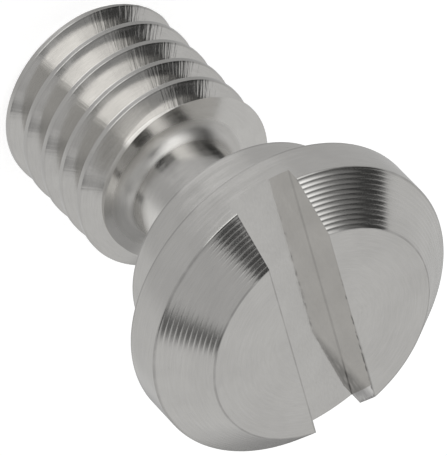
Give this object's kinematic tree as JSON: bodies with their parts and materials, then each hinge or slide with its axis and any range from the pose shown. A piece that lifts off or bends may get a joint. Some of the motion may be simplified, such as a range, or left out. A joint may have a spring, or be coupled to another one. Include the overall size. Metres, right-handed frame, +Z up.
{
  "type": "fork bleed screw",
  "caption": "One-piece turned steel screw with a slotted, chamfered head, a pilot boss, a narrow seal neck and a short threaded shank.",
  "frame": {"origin": "centre of the flat end of the thread, which is the bottom of the part as it stands", "axes": "+Z runs up the screw's axis from the thread end to the slotted face, and the screwdriver slot runs along Y"},
  "size_m": [0.0096, 0.0096, 0.0129],
  "materials": {
    "steel": "bright turned steel with fine tool rings, satin on the flank and smoother in the slot"
  },
  "bodies": {
    "root": {"bleed_screw": "steel"}
  },
  "joints": []
}
